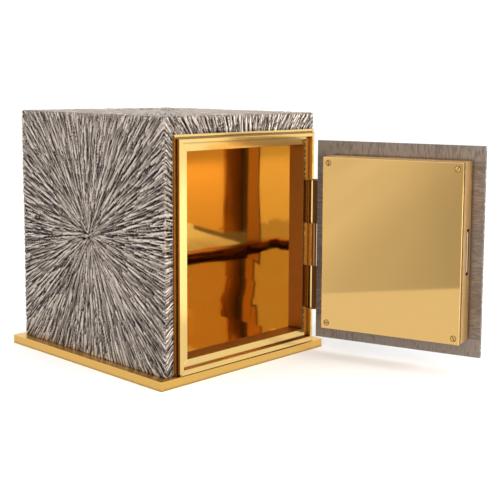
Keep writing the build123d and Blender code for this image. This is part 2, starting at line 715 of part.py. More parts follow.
key_half = keyway_width / 2
key_tall = keyway_height / 2 - key_clearance
with BuildPart() as key:
    block((key_x - key_half, barrel_front_y - key_stem_length, key_z - key_tall),
          (key_x + key_half, barrel_front_y + key_blade_reach, key_z + key_tall))
    bow_y = barrel_front_y - key_stem_length - key_bow_radius + key_bow_overlap
    with BuildSketch(Plane(origin=(key_x - key_half, bow_y, key_z), z_dir=(1, 0, 0))):
        Circle(key_bow_radius)
    extrude(amount=keyway_width)
    with BuildSketch(Plane(origin=(key_x - key_half, bow_y, key_z), z_dir=(1, 0, 0))):
        Circle(key_bow_hole_radius)
    extrude(amount=keyway_width, mode=Mode.SUBTRACT)
save_on_door(key, "key")

# ---------------------------------------------------------------- bolt
# Steel plate with an upright slot for the crank pin. The pin's throw is shared out evenly
# over the half turn, so the slot is wider than the pin by the greatest difference.
bolt_travel = 2 * crank_radius
steps = [pi * i / 180 for i in range(181)]
pin_lag = max(abs(crank_radius * cos(a) - crank_radius + bolt_travel * a / pi) for a in steps)
yoke_half = crank_pin_radius + pin_lag + crank_pin_clearance
yoke_x = key_x + crank_radius
with BuildPart() as bolt:
    block((bolt_x0, bolt_y - bolt_thickness / 2, case_mid_z - bolt_height / 2),
          (bolt_x0 + bolt_length, bolt_y + bolt_thickness / 2, case_mid_z + bolt_height / 2))
    yoke_z0 = key_z - crank_pin_radius - yoke_end_room
    yoke_z1 = key_z + crank_radius + crank_pin_radius + yoke_end_room
    cut_block((yoke_x - yoke_half, bolt_y - bolt_thickness, yoke_z0),
              (yoke_x + yoke_half, bolt_y + bolt_thickness, yoke_z1))
save_on_door(bolt, "bolt")
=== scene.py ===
import json
from math import pi, radians

import bmesh
import bpy
import numpy as np
from mathutils import Matrix, Vector


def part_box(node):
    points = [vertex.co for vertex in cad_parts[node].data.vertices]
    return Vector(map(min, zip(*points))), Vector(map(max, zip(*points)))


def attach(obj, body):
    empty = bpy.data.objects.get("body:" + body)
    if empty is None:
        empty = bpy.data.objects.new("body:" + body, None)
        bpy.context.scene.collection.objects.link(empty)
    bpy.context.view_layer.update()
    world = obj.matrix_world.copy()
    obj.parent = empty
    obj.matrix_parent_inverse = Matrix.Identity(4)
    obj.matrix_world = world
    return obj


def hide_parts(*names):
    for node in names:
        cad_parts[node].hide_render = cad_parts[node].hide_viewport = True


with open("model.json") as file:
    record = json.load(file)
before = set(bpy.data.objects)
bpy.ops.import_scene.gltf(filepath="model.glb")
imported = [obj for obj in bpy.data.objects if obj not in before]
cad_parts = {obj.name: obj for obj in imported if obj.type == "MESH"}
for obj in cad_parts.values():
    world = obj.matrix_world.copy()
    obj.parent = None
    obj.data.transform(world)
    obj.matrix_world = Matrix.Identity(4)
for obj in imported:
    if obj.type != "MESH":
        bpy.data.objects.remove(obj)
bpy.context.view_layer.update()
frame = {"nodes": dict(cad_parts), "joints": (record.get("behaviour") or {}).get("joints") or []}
nodes = frame["nodes"]
MM = 0.001

# ---- Studio -------------------------------------------------------------------------
# A pale seamless floor under a bright white room, with two soft panels, and a glowing grey card
# that gives the polished brass something dimmer to mirror.
scene = bpy.context.scene
scene.view_settings.view_transform = "Standard"
scene.cycles.glossy_bounces = 10     # the polished lining is seen through five or six reflections

camera = bpy.data.objects.new("camera", bpy.data.cameras.new("camera"))
camera.data.lens = 71.08
camera.data.sensor_width = 36
camera.data.shift_x = -0.0594
camera.data.shift_y = -0.1139
camera.matrix_world = (Matrix.Translation((-0.92229, -1.08813, 0.38383))
                       @ Matrix.Rotation(radians(-46.86), 4, "Z")
                       @ Matrix.Rotation(radians(90 - 6.40), 4, "X")
                       @ Matrix.Rotation(radians(0.45), 4, "Z"))
scene.collection.objects.link(camera)
scene.camera = camera


def linear(code):
    """An sRGB hex colour as linear RGBA."""
    parts = [int(code[i:i + 2], 16) / 255 for i in (1, 3, 5)]
    return tuple(c / 12.92 if c <= 0.04045 else ((c + 0.055) / 1.055) ** 2.4 for c in parts) + (1.0,)


def finish_of(name, **values):
    """A new material; values set its shader's own sockets, with _ for a space."""
    material = bpy.data.materials.new(name)
    material.use_nodes = True
    shader = material.node_tree.nodes["Principled BSDF"]
    for key, value in values.items():
        shader.inputs[key.replace("_", " ")].default_value = value
    return material, shader


def wire(material, kind, settings, *links):
    """Adds one shader node, sets it up, and links or fills its inputs, named or numbered."""
    added = material.node_tree.nodes.new("ShaderNode" + kind)
    for key, value in settings.items():
        if key == "stops":
            ramp = added.color_ramp.elements
            while len(ramp) < len(value):
                ramp.new(0.5)
            for element, (place, code) in zip(ramp, value):
                element.position = place
                element.color = linear(code)
        else:
            setattr(added, key, value)
    for socket, value in links:
        if isinstance(value, bpy.types.NodeSocket):
            material.node_tree.links.new(value, added.inputs[socket])
        else:
            added.inputs[socket].default_value = value
    return added


def new_piece(name, mesh, *materials):
    """Puts a mesh in the scene as an object at the origin."""
    piece = bpy.data.objects.new(name, mesh)
    for material in materials:
        mesh.materials.append(material)
    scene.collection.objects.link(piece)
    return piece


# Matt white background paper, rolled smooth, so it shows only soft shade.
floor_paper, _ = finish_of("floor_paper", Base_Color=linear("#FDFDFD"), Roughness=0.9,
                           Specular_IOR_Level=0.1)
bm = bmesh.new()
bmesh.ops.create_grid(bm, x_segments=2, y_segments=2, size=6)
floor_mesh = bpy.data.meshes.new("floor")
bm.to_mesh(floor_mesh)
bm.free()
floor = new_piece("floor", floor_mesh, floor_paper)

world = bpy.data.worlds.new("room")
scene.world = world
world.use_nodes = True
world.node_tree.nodes["Background"].inputs["Color"].default_value = linear("#FFFFFF")
world.node_tree.nodes["Background"].inputs["Strength"].default_value = 1.1


def soft_panel(name, place, target, width, height, power):
    """A rectangular studio light facing a target."""
    light = bpy.data.lights.new(name, "AREA")
    light.shape = "RECTANGLE"
    light.size = width
    light.size_y = height
    light.energy = power
    lamp = bpy.data.objects.new(name, light)
    lamp.location = place
    lamp.rotation_euler = (Vector(target) - Vector(place)).to_track_quat("-Z", "Y").to_euler()
    scene.collection.objects.link(lamp)
    return lamp


soft_panel("key_light", (-2.2, -1.2, 1.6), (0, 0, 0.15), 1.6, 1.6, 26)
soft_panel("front_light", (0.5, -2.6, 1.1), (0, -0.1, 0.2), 1.5, 1.2, 34)

# A grey card that glows lies along the floor to the left, seen only in mirror-bright metal, where
# it stands for the dim end of the room. It darkens towards the front in slow folds, and
# past a slanting line it is as bright as the floor.
CARD_DARK, CARD_PALE = 0.55, 0.92     # at the front and at the back
CARD_FOLDS = 0.22                     # how much the folds add
CARD_BRIGHT = 0.93                    # past the slanting line
glowing_card = bpy.data.materials.new("glowing_grey_card")
glowing_card.use_nodes = True
glowing_card.node_tree.nodes.remove(glowing_card.node_tree.nodes["Principled BSDF"])
place = wire(glowing_card, "TexCoord", {})
apart = wire(glowing_card, "SeparateXYZ", {}, ("Vector", place.outputs["Object"]))
dimming = wire(glowing_card, "MapRange", {}, ("Value", apart.outputs["Y"]),
               ("From Min", -0.45), ("From Max", -0.05),
               ("To Min", CARD_DARK), ("To Max", CARD_PALE))
folds = wire(glowing_card, "Mapping", {}, ("Vector", place.outputs["Object"]), ("Scale", (0.3, 7, 1)))
folds = wire(glowing_card, "TexNoise", {}, ("Vector", folds.outputs["Vector"]), ("Scale", 1.0),
             ("Detail", 1.0))
dimming = wire(glowing_card, "Math", {"operation": "MULTIPLY_ADD"}, (0, folds.outputs["Fac"]),
               (1, CARD_FOLDS), (2, dimming.outputs["Result"]))
dimming = wire(glowing_card, "Math", {"operation": "SUBTRACT"}, (0, dimming.outputs["Value"]), (1, 0.17))
slant = wire(glowing_card, "Math", {"operation": "MULTIPLY_ADD"}, (0, apart.outputs["Y"]), (1, -0.42),
             (2, apart.outputs["X"]))
near = wire(glowing_card, "Math", {"operation": "GREATER_THAN"}, (0, slant.outputs["Value"]), (1, -0.266))
dimming = wire(glowing_card, "Mix", {}, ("Factor", near.outputs["Value"]),
               ("A", dimming.outputs["Value"]), ("B", CARD_BRIGHT))
glow = wire(glowing_card, "Emission", {}, ("Strength", dimming.outputs["Result"]))
card_output = glowing_card.node_tree.nodes["Material Output"]
glowing_card.node_tree.links.new(glow.outputs["Emission"], card_output.inputs["Surface"])
bm = bmesh.new()
bmesh.ops.create_grid(bm, x_segments=1, y_segments=1, size=1)
bmesh.ops.scale(bm, vec=(3.1, 0.52, 1), verts=bm.verts)
bmesh.ops.translate(bm, vec=(-2.98, 0.08, 0.001), verts=bm.verts)
card_mesh = bpy.data.meshes.new("dim_card")
bm.to_mesh(card_mesh)
bm.free()
card = new_piece("dim_card", card_mesh, glowing_card)
card.visible_camera = card.visible_diffuse = card.visible_shadow = card.visible_transmission = False

# ---- Base plate ---------------------------------------------------------------------
# A 12 mm rolled brass plate, its edges sawn, eased and satin brushed along their length,
# then lacquered. The cabinet is screwed to it from below.


def softened(node, width, angle=30):
    """The node's own shape with its sharp edges eased, as a new mesh."""
    eased = bmesh.new()
    eased.from_mesh(nodes[node].data)
    bmesh.ops.remove_doubles(eased, verts=eased.verts, dist=1e-6)
    bmesh.ops.dissolve_limit(eased, angle_limit=radians(1), verts=eased.verts, edges=eased.edges)
    sharp = [e for e in eased.edges if e.is_manifold and e.calc_face_angle() > radians(angle)]
    bmesh.ops.bevel(eased, geom=sharp, affect="EDGES", offset=width, segments=2,
                    profile=0.5, material=-1, clamp_overlap=True)
    for face in eased.faces:
        face.smooth = True
    mesh = bpy.data.meshes.new(node)
    eased.to_mesh(mesh)
    eased.free()
    mesh.set_sharp_from_angle(angle=radians(angle))
    return mesh


def keep_flats(piece):
    """Shades broad faces flat, so that only the eased edges turn the light."""
    piece.modifiers.new("flats", "WEIGHTED_NORMAL").keep_sharp = True


def reshape(node, body, width, material, **options):
    """Replaces a CAD node by its softened shape in one finish."""
    piece = new_piece(node + "_eased", softened(node, width, **options), material)
    keep_flats(piece)
    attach(piece, body)
    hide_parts(node)
    return piece


def brushed(name, colour, roughness, stretch, depth, corner_shade_colour="#6E4520", reach=5):
    """Lacquered metal with fine brush lines; stretch is lines per metre along X, Y and Z.

    depth is how deep the lines are cut, mm. The metal is painted darker in its corners,
    as painted shade, as far out as reach, mm."""
    material, shader = finish_of(name, Metallic=1.0)
    place = wire(material, "TexCoord", {})
    lines = wire(material, "Mapping", {}, ("Vector", place.outputs["Object"]), ("Scale", stretch))
    grain = wire(material, "TexNoise", {}, ("Vector", lines.outputs["Vector"]), ("Scale", 1.0),
                 ("Detail", 4.0))
    rough = wire(material, "MapRange", {}, ("Value", grain.outputs["Fac"]),
                 ("To Min", roughness * 0.75), ("To Max", roughness * 1.25))
    ridge = wire(material, "Bump", {}, ("Height", grain.outputs["Fac"]), ("Strength", 0.35),
                 ("Distance", depth * MM))
    # Painted shade: ambient occlusion blends the metal towards the darker corner colour in its corners
    # and gaps.
    corner_shade = wire(material, "AmbientOcclusion", {"samples": 6}, ("Distance", reach * MM))
    out_of_corner_shade = wire(material, "MapRange", {"interpolation_type": "SMOOTHSTEP"},
                      ("Value", corner_shade.outputs["AO"]), ("From Min", 0.35), ("From Max", 0.92))
    shaded_tint = wire(material, "Mix", {"data_type": "RGBA"}, ("Factor", out_of_corner_shade.outputs["Result"]),
                (6, linear(corner_shade_colour)), (7, linear(colour)))
    links = material.node_tree.links
    links.new(shaded_tint.outputs[2], shader.inputs["Base Color"])
    links.new(rough.outputs["Result"], shader.inputs["Roughness"])
    links.new(ridge.outputs["Normal"], shader.inputs["Normal"])
    return material


# Satin-brushed brass: a soft golden sheen, streaked along the plate, with painted shade in
# its corners. Real brush lines lie about 0.1 mm apart; these are drawn 0.6 mm apart, so that they
# show.
satin_brass = brushed("satin_brass", "#E3B45F", 0.34, (40, 40, 1800), 0.02)
reshape("base_plate", "cabinet", 0.5 * MM, satin_brass)

# ---- Cast panels --------------------------------------------------------------------
# Five sand-cast white-metal panels, 8 mm thick, mitred at the corners. Rays are pressed
# outwards from the middle of each pattern before casting; the casting is darkened, then
# rubbed back so that the ridges shine warm grey and the hollows stay nearly black.
front_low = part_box("front_panel")[0]
body_low = Vector((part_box("left_side_panel")[0].x, front_low.y, front_low.z))
body_high = Vector((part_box("right_side_panel")[1].x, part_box("back_panel")[1].y,
                    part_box("top_panel")[1].z))
middle = (body_low + body_high) / 2
size = body_high - body_low
RELIEF = 3.2          # deepest hollow below the ridges, mm
ROUND = 1.8           # corner radius, mm
WALL = 8              # thickness of the casting, mm
PITCH = 1.1           # distance between the points that carry the relief, mm
RIDGE_AREA = 19       # panel area for each ridge, mm2
CRACK_AREA = 36       # and for each crack, mm2


def pressed_rays(u, v, seed):
    """Height from 0 to 1 over a flat panel, for ridges pressed outwards from its middle.

    u and v are millimetres from the middle. Ridges 4 to 8 mm wide cover the panel, and
    narrow cracks about 2 mm wide, deepest at their outer end, are left between them."""
    random = np.random.default_rng(seed)
    height = np.full(u.shape, 0.1)
    step = u[0, 1] - u[0, 0]
    low_u, low_v = u[0, 0], v[0, 0]
    area = np.ptp(u) * np.ptp(v)
    ridges, cracks = int(area / RIDGE_AREA), int(area / CRACK_AREA)
    for number in range(ridges + cracks):
        at_u, at_v = random.uniform(low_u - 4, 4 - low_u), random.uniform(low_v - 4, 4 - low_v)
        radius = np.hypot(at_u, at_v)
        turn = np.arctan2(at_v, at_u) + random.normal(0, 0.025)
        near = min(1.0, 0.25 + radius / 60)
        crack = number >= ridges
        length = near * (random.uniform(10, 46) if crack else random.uniform(16, 46))
        half = random.uniform(0.75, 1.3) if crack else random.uniform(1.6, 3.6)
        half = min(half, 0.5 + radius * 0.045)
        level = random.uniform(0.55, 1.0)
        reach = length / 2 + half
        i, j = (slice(max(0, int((at - reach - low) / step)),
                      max(0, int((at + reach - low) / step) + 2))
                for at, low in ((at_u, low_u), (at_v, low_v)))
        du, dv = u[j, i] - at_u, v[j, i] - at_v
        along = (du * np.cos(turn) + dv * np.sin(turn)) / (length / 2)
        outer = np.clip(0.5 + along / 2, 0, 1)
        along = np.abs(along)
        across = np.abs(dv * np.cos(turn) - du * np.sin(turn)) / half
        if crack:
            across = across / (0.65 + 0.5 * outer)
            ends = np.clip(1 - along ** 6, 0, 1)
            cut = level * (0.5 + 0.5 * outer) * ends * np.clip(1.3 * (1 - across ** 2), 0, 1)
            height[j, i] = np.minimum(height[j, i], 1 - cut)
        else:
            ends = np.clip(1 - along ** 5, 0, 1)
            shape = level * ends * np.clip(1 - 0.5 * across ** 3, 0, 1) * (across < 1.0)
            height[j, i] = np.maximum(height[j, i], shape)
    return height


def spread(values, reach):
    """Mean of the neighbours within reach steps, along both directions."""
    for axis in (0, 1):
        padded = np.concatenate([np.repeat(np.take(values, [0], axis), reach, axis), values,
                                 np.repeat(np.take(values, [-1], axis), reach, axis)], axis)
        total = np.cumsum(padded, axis=axis)
        first = np.insert(total, 0, 0, axis=axis)
        width = 2 * reach + 1
        count = values.shape[axis]
        values = (np.take(first, range(width, width + count), axis)
                  - np.take(first, range(count), axis)) / width
    return values


class Face:
    """One side of the box as seen from outside, with its relief."""

    def __init__(self, node, across, up, length, height, seed):
        self.node, self.across, self.up = node, Vector(across), Vector(up)
        self.out = self.across.cross(self.up)
        self.length, self.height = length / MM, height / MM
        self.columns, self.rows = round(self.length / PITCH), round(self.height / PITCH)
        self.u, self.v = np.meshgrid(np.linspace(-0.5, 0.5, self.columns + 1) * self.length,
                                     np.linspace(-0.5, 0.5, self.rows + 1) * self.height)
        self.relief = pressed_rays(self.u, self.v, seed)

    def edge(self, side):
        """The relief along one side."""
        return {"left": self.relief[:, 0], "right": self.relief[:, -1],
                "top": self.relief[-1, :], "bottom": self.relief[0, :]}[side]

    def meet(self, side, level):
        """Bends the relief near one side so that it arrives there at the given level."""
        change = level - self.edge(side)
        reach = 6 / PITCH
        steps_u = np.arange(self.columns + 1)
        steps_v = np.arange(self.rows + 1)
        if side in ("left", "right"):
            fade = np.clip(1 - (steps_u if side == "left" else steps_u[::-1]) / reach, 0, 1)
            self.relief = self.relief + np.outer(change, fade)
        else:
            fade = np.clip(1 - (steps_v if side == "bottom" else steps_v[::-1]) / reach, 0, 1)
            self.relief = self.relief + np.outer(fade, change)
        self.relief = np.clip(self.relief, 0, 1)


left = Face("left_side_panel", (0, -1, 0), (0, 0, 1), size.y, size.z, 3)
right = Face("right_side_panel", (0, 1, 0), (0, 0, 1), size.y, size.z, 4)
front = Face("front_panel", (1, 0, 0), (0, 0, 1), size.x, size.z, 5)
back = Face("back_panel", (-1, 0, 0), (0, 0, 1), size.x, size.z, 6)
top = Face("top_panel", (1, 0, 0), (0, 1, 0), size.x, size.y, 7)

# Both sides of a mitre arrive at one level, and every corner at the same one.
CORNER = 0.7
mitres = [(left, "right", front, "left", 1), (front, "right", right, "left", 1),
          (right, "right", back, "left", 1), (back, "right", left, "left", 1),
          (top, "bottom", front, "top", 1), (top, "top", back, "top", -1),
          (top, "right", right, "top", 1), (top, "left", left, "top", -1)]
for one, side, other, far_side, way in mitres:
    shared = 0.3 + 0.35 * (one.edge(side) + other.edge(far_side)[::way])
    shared[-1] = CORNER
    if far_side == "top":
        shared[0] = CORNER
    one.meet(side, shared)
    other.meet(far_side, shared[::way])


def rolled(distance):
    """Depth of the rounded corner at a distance from it, mm."""
    return ROUND - np.sqrt(ROUND ** 2 - np.clip(ROUND - distance, 0, ROUND * 0.7071) ** 2)


def plate_mesh(name, columns, rows, opening=None):
    """A flat grid with a wall round it and a back; points lie in -0.5..0.5, the back at z -1."""
    plate = bmesh.new()
    bmesh.ops.create_grid(plate, x_segments=columns, y_segments=rows, size=0.5)
    if opening:
        inside = [f for f in plate.faces if opening(f.calc_center_median())]
        bmesh.ops.delete(plate, geom=inside, context="FACES")
    rim = [e for e in plate.edges if e.is_boundary]
    wall = bmesh.ops.extrude_edge_only(plate, edges=rim)["geom"]
    bmesh.ops.translate(plate, verts=[g for g in wall if isinstance(g, bmesh.types.BMVert)],
                        vec=(0, 0, -1))
    back_rim = [g for g in wall if isinstance(g, bmesh.types.BMEdge)]
    if opening:
        bmesh.ops.bridge_loops(plate, edges=back_rim)
    else:
        bmesh.ops.edgeloop_fill(plate, edges=back_rim)
    bmesh.ops.recalc_face_normals(plate, faces=plate.faces)
    mesh = bpy.data.meshes.new(name)
    plate.to_mesh(mesh)
    plate.free()
    return mesh


def grid_place(mesh, columns, rows):
    """Each point's column, row and whether it is on the back."""
    points = np.empty(len(mesh.vertices) * 3, np.float32)
    mesh.vertices.foreach_get("co", points)
    points = points.reshape(-1, 3)
    return (np.rint((points[:, 0] + 0.5) * columns).astype(int),
            np.rint((points[:, 1] + 0.5) * rows).astype(int), points[:, 2] < -0.5)


def store(mesh, name, values):
    """Keeps one number for each point, for the material to read."""
    mesh.attributes.new(name, "FLOAT", "POINT").data.foreach_set("value", values.astype(np.float32))


def store_rays(mesh, u, v):
    """Coordinates in which a plain noise runs in streaks along the rays, about 1 mm by 15 mm."""
    radius = np.hypot(u, v) + 3
    rays = np.stack([u / radius * 85, v / radius * 85, np.log(radius) * 7], 1)
    stored = mesh.attributes.new("rays", "FLOAT_VECTOR", "POINT")
    stored.data.foreach_set("vector", rays.ravel().astype(np.float32))


def set_points(mesh, origin, across, up, out, u, v, depth):
    """Moves the points to millimetres across, up and below a plane through origin."""
    axes = [np.array(a) for a in (across, up, out)]
    offsets = np.outer(u, axes[0]) + np.outer(v, axes[1]) - np.outer(depth, axes[2])
    points = np.array(origin) + MM * offsets
    mesh.vertices.foreach_set("co", points.ravel().astype(np.float32))
    mesh.update()


def cast_mesh(face, thickness, rolled_sides, opening=None):
    """The panel as a closed mesh, its relief cut inwards from the outer plane.

    Near a rolled side the points draw back, so that both panels of a mitre share an edge."""
    mesh = plate_mesh(face.node, face.columns, face.rows, opening)
    column, row, behind = grid_place(mesh, face.columns, face.rows)
    low = (1 - face.relief) * RELIEF
    half_u, half_v = face.length / 2, face.height / 2
    to_side = {"left": face.u + half_u, "right": half_u - face.u,
               "top": half_v - face.v, "bottom": half_v + face.v}
    fade = {side: np.clip(1 - gap / 10, 0, 1) for side, gap in to_side.items()}
    corner = 0.2929 * ROUND
    last = 2 * corner + low[-1, 0]
    edges = {}
    from_top, from_ends = half_v - face.v[:, 0], half_u - np.abs(face.u[0])
    for side, line, run in (("left", low[:, 0], from_top), ("right", low[:, -1], from_top),
                            ("top", low[-1, :], from_ends), ("bottom", low[0, :], from_ends)):
        edges[side] = line + corner + (rolled(run) if side in rolled_sides else 0)
    if "top" in rolled_sides:
        edges["left"][-1] = edges["right"][-1] = last
        edges["top"][0] = edges["top"][-1] = last
    if "bottom" in rolled_sides:
        edges["left"][0] = edges["right"][0] = last
        edges["bottom"][0] = edges["bottom"][-1] = last
    u, v, depth = face.u.copy(), face.v.copy(), low.copy()
    for side in rolled_sides:
        if side in ("left", "right"):
            shift = edges[side][:, None] * fade[side]
            u += shift if side == "left" else -shift
        else:
            shift = edges[side][None, :] * fade[side]
            v += shift if side == "bottom" else -shift
    for side, gap in (("left", u + half_u), ("right", half_u - u),
                      ("top", half_v - v), ("bottom", v + half_v)):
        if side in rolled_sides:
            depth += rolled(gap)
    where = {"left": np.s_[:, 0], "right": np.s_[:, -1], "top": np.s_[-1, :], "bottom": np.s_[0, :]}
    for side in rolled_sides:
        depth[where[side]] = edges[side]
    point_u, point_v, point_depth = u[row, column], v[row, column], depth[row, column]
    back_half_u = half_u - thickness
    inner_u = np.clip(face.u[row, column], -back_half_u, back_half_u)
    inner_v = np.clip(face.v[row, column], -half_v + (thickness if "bottom" in rolled_sides else 0),
                      half_v - thickness)
    point_u = np.where(behind, inner_u, point_u)
    point_v = np.where(behind, inner_v, point_v)
    point_depth = np.where(behind, thickness, point_depth)
    origin = middle + Vector([a * b / 2 for a, b in zip(face.out, size)])
    set_points(mesh, origin, face.across, face.up, face.out, point_u, point_v, point_depth)
    crest = face.relief - spread(face.relief, 3)
    store(mesh, "level", face.relief[row, column])
    store(mesh, "crest", crest[row, column])
    store_rays(mesh, point_u, point_v)
    for polygon in mesh.polygons:
        polygon.use_smooth = True
    return mesh


# Cast white metal, chemically darkened and rubbed back: warm grey ridges with a dull shine,
# nearly black hollows. It has streaks about 1 mm by 15 mm along the rays, sand grit drawn
# 1.5 mm apart so that it shows, where real grit is 0.3 mm, and clouds about 20 mm across.
white_metal, cast_shader = finish_of("darkened_cast_white_metal", Metallic=0.75)
level = wire(white_metal, "Attribute", {"attribute_name": "level"})
crest = wire(white_metal, "Attribute", {"attribute_name": "crest"})
rays = wire(white_metal, "Attribute", {"attribute_name": "rays"})
place = wire(white_metal, "TexCoord", {})
streaks, grit, cloud = (
    wire(white_metal, "TexNoise", {}, ("Vector", vector), ("Scale", scale), ("Detail", 3.0))
    for vector, scale in ((rays.outputs["Vector"], 1.0), (place.outputs["Object"], 700.0),
                          (place.outputs["Object"], 45.0)))
shade = level.outputs["Fac"]
for source, share in ((crest.outputs["Fac"], 1.2), (streaks.outputs["Fac"], 1.0),
                      (grit.outputs["Fac"], 0.25), (cloud.outputs["Fac"], 0.35)):
    shade = wire(white_metal, "Math", {"operation": "MULTIPLY_ADD"}, (0, source), (1, share),
                 (2, shade)).outputs["Value"]
tone = wire(white_metal, "MapRange", {}, ("Value", shade), ("From Min", 0.74), ("From Max", 2.08))
cast_tones = [(0.0, "#100F13"), (0.22, "#373230"), (0.42, "#756A62"), (0.66, "#9D9085"),
              (1.0, "#D4C7BA")]
colour = wire(white_metal, "ValToRGB", {"stops": cast_tones}, ("Fac", tone.outputs["Result"]))
dull = wire(white_metal, "MapRange", {}, ("Value", tone.outputs["Result"]),
            ("To Min", 0.65), ("To Max", 0.42))
lines = wire(white_metal, "Bump", {}, ("Height", streaks.outputs["Fac"]), ("Strength", 0.6),
             ("Distance", 0.8 * MM))
bump = wire(white_metal, "Bump", {}, ("Height", grit.outputs["Fac"]), ("Strength", 0.5),
            ("Distance", 0.25 * MM), ("Normal", lines.outputs["Normal"]))
for output, socket in ((colour.outputs["Color"], "Base Color"), (dull.outputs["Result"], "Roughness"),
                       (bump.outputs["Normal"], "Normal")):
    white_metal.node_tree.links.new(output, cast_shader.inputs[socket])

# The front casting is level under the lip of the door frame, and stops there.
UNDER_LIP = 1.5       # how far the lip covers the casting, mm
frame_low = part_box("frame_left_stile")[0]
frame_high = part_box("frame_right_stile")[1]
rim_low_x = frame_low.x / MM + UNDER_LIP - middle.x / MM
rim_high_x = frame_high.x / MM - UNDER_LIP - middle.x / MM
rim_high_z = frame_high.z / MM - UNDER_LIP - middle.z / MM
close = 1
for inside in (front.u - rim_low_x, rim_high_x - front.u, rim_high_z - front.v):
    close = close * np.clip((inside + UNDER_LIP) / 0.6, 0, 1)
front.relief = front.relief + (1 - front.relief) * close


def in_doorway(point):
    """True for the part of the front that the frame's rim and doorway take."""
    return (rim_low_x < point.x * front.length < rim_high_x
            and 2 - front.height / 2 < point.y * front.height < rim_high_z)


for face in (left, right, back, top, front):
    sides = ("left", "right", "top", "bottom") if face is top else ("left", "right", "top")
    mesh = cast_mesh(face, WALL, sides, in_doorway if face is front else None)
    piece = new_piece(face.node + "_cast", mesh, white_metal)
    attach(piece, "cabinet")
    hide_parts(face.node)

# ---- Inner boards -------------------------------------------------------------------
# Birch plywood cut square and screwed to the castings and the base from inside; nothing of
# it shows once the lining is in, apart from the edges at the doorway.

# Sanded birch ply: pale straw brown, with grain about 15 mm wide running upright.
plywood, plywood_shader = finish_of("birch_plywood", Roughness=0.6)
place = wire(plywood, "TexCoord", {})
grain_place = wire(plywood, "Mapping", {}, ("Vector", place.outputs["Object"]), ("Scale", (60, 60, 4)))
grain = wire(plywood, "TexNoise", {}, ("Vector", grain_place.outputs["Vector"]), ("Scale", 1.0),
             ("Detail", 5.0))
colour = wire(plywood, "ValToRGB", {"stops": [(0.3, "#A88457"), (0.7, "#D3B487")]},
              ("Fac", grain.outputs["Fac"]))
plywood.node_tree.links.new(colour.outputs["Color"], plywood_shader.inputs["Base Color"])


def dress(material, *names):
    """Gives CAD nodes whose shape is right a finish."""
    for name in names:
        nodes[name].data.materials.clear()
        nodes[name].data.materials.append(material)


dress(plywood, "bottom_board", "left_board", "right_board", "top_board", "back_board")

# Zinc-plated steel screws, bright, with cloudy plating in patches about 1 mm across.
zinc, zinc_shader = finish_of("zinc_plated_steel", Base_Color=linear("#B9BBBD"), Metallic=1.0)
place = wire(zinc, "TexCoord", {})
cloud = wire(zinc, "TexNoise", {}, ("Vector", place.outputs["Object"]), ("Scale", 900.0),
             ("Detail", 3.0))
dull = wire(zinc, "MapRange", {}, ("Value", cloud.outputs["Fac"]), ("To Min", 0.22), ("To Max", 0.42))
zinc.node_tree.links.new(dull.outputs["Result"], zinc_shader.inputs["Roughness"])
dress(zinc, "panel_screws", "front_panel_screws", "base_screws", "frame_screws", "case_screws")

# ---- Lining -------------------------------------------------------------------------
# Five 1.5 mm brass sheets, mirror polished and gilded, pushed in against the boards. Thin
# sheet never lies quite flat, so each has a slow wave that bends what it mirrors.

# Mirror-polished gilt sheet: clear gold reflections, a little hazy in patches about 40 mm
# across where it has been wiped.
mirror_gilt, gilt_shader = finish_of("mirror_gilt_sheet", Base_Color=linear("#EBD4A2"), Metallic=1.0)
place = wire(mirror_gilt, "TexCoord", {})
haze = wire(mirror_gilt, "TexNoise", {}, ("Vector", place.outputs["Object"]), ("Scale", 25.0),
            ("Detail", 4.0))
dull = wire(mirror_gilt, "MapRange", {}, ("Value", haze.outputs["Fac"]),
            ("To Min", 0.015), ("To Max", 0.05))
mirror_gilt.node_tree.links.new(dull.outputs["Result"], gilt_shader.inputs["Roughness"])


def lining_sheet(node, across, up, seed, wave):
    """A sheet whose face towards the cavity is hollowed up to wave, mm, its edges straight."""
    low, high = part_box(node)
    centre, reach = (low + high) / 2, (high - low) / MM
    across, up = Vector(across), Vector(up)
    out = across.cross(up)
    length, height, depth = (abs(reach.dot(axis)) for axis in (across, up, out))
    columns, rows = round(length / 2.5), round(height / 2.5)
    mesh = plate_mesh(node, columns, rows)
    column, row, behind = grid_place(mesh, columns, rows)
    u, v = (column / columns - 0.5) * length, (row / rows - 0.5) * height
    random = np.random.default_rng(seed)
    swell = np.zeros(len(u))
    for reach_mm, share in ((320, 1.0), (200, 0.5), (130, 0.15)):
        for _ in range(3):
            turn, start = random.uniform(0, pi), random.uniform(0, 2 * pi)
            swell += share * np.sin((u * np.cos(turn) + v * np.sin(turn)) * 2 * pi / reach_mm + start)
    swell = (swell - swell.min()) / np.ptp(swell)
    from_edge = np.minimum(length / 2 - np.abs(u), height / 2 - np.abs(v))
    hollow = np.where(behind, depth, wave * swell * np.minimum(1, from_edge / 40))
    set_points(mesh, centre + out * depth * MM / 2, across, up, out, u, v, hollow)
    for polygon in mesh.polygons:
        polygon.use_smooth = True
    mesh.set_sharp_from_angle(angle=radians(40))
    piece = new_piece(node + "_sheet", mesh, mirror_gilt)
    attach(piece, "cabinet")
    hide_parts(node)


lining_sheet("lining_floor", (1, 0, 0), (0, 1, 0), 21, 0.5)
lining_sheet("lining_ceiling", (-1, 0, 0), (0, 1, 0), 22, 0.5)
lining_sheet("lining_left", (0, 1, 0), (0, 0, 1), 23, 0.7)
lining_sheet("lining_right", (0, -1, 0), (0, 0, 1), 24, 1.0)
lining_sheet("lining_back", (1, 0, 0), (0, 0, 1), 25, 0.5)

# ---- Door frame ---------------------------------------------------------------------
# Four machined brass bars with mitred corners: lip, groove, rim, rebate, landing and jamb
# in one section. The front faces are mirror polished, with fine lines left along each bar.

